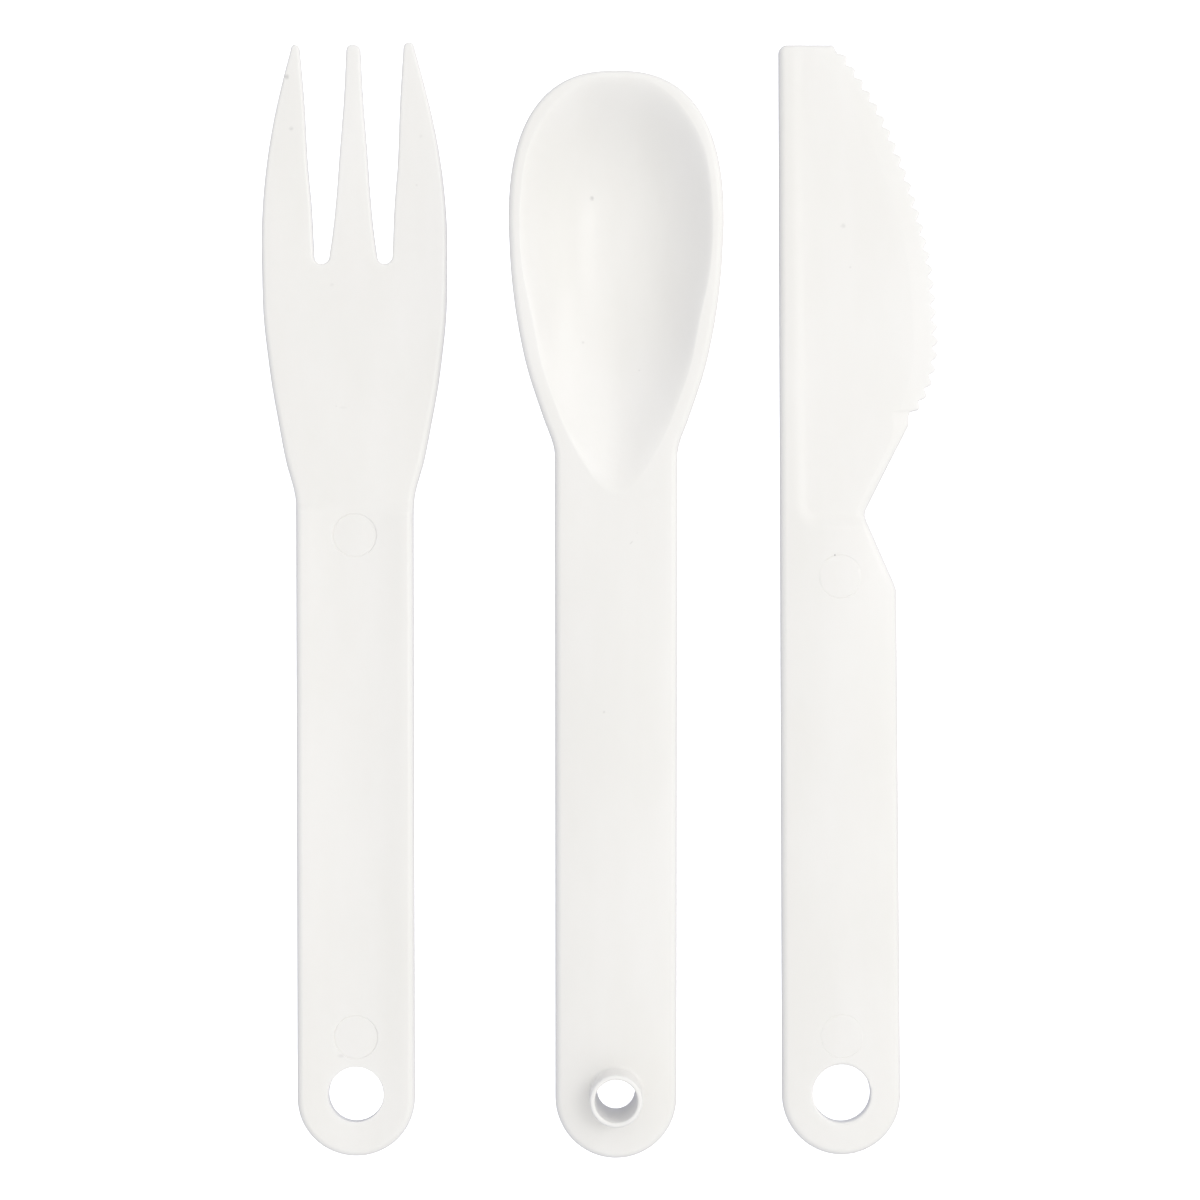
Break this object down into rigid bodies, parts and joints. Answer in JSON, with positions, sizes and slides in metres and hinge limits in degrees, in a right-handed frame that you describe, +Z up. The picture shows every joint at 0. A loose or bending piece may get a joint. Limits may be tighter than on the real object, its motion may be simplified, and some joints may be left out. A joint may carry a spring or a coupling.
{
  "type": "plastic cutlery pack",
  "caption": "White moulded plastic fork, spoon and serrated knife laid side by side; a hollow peg on the spoon's handle fits the holes in the others.",
  "frame": {"origin": "middle of the whole layout's length and width, on the table it lies on", "axes": "+Y along the handles towards the heads, +X from the fork to the knife, +Z up"},
  "size_m": [0.0976, 0.1604, 0.0097],
  "materials": {
    "white_plastic": "warm white, semi-gloss as moulded"
  },
  "bodies": {
    "root": {"fork": "white_plastic", "spoon": "white_plastic", "knife": "white_plastic"}
  },
  "joints": []
}
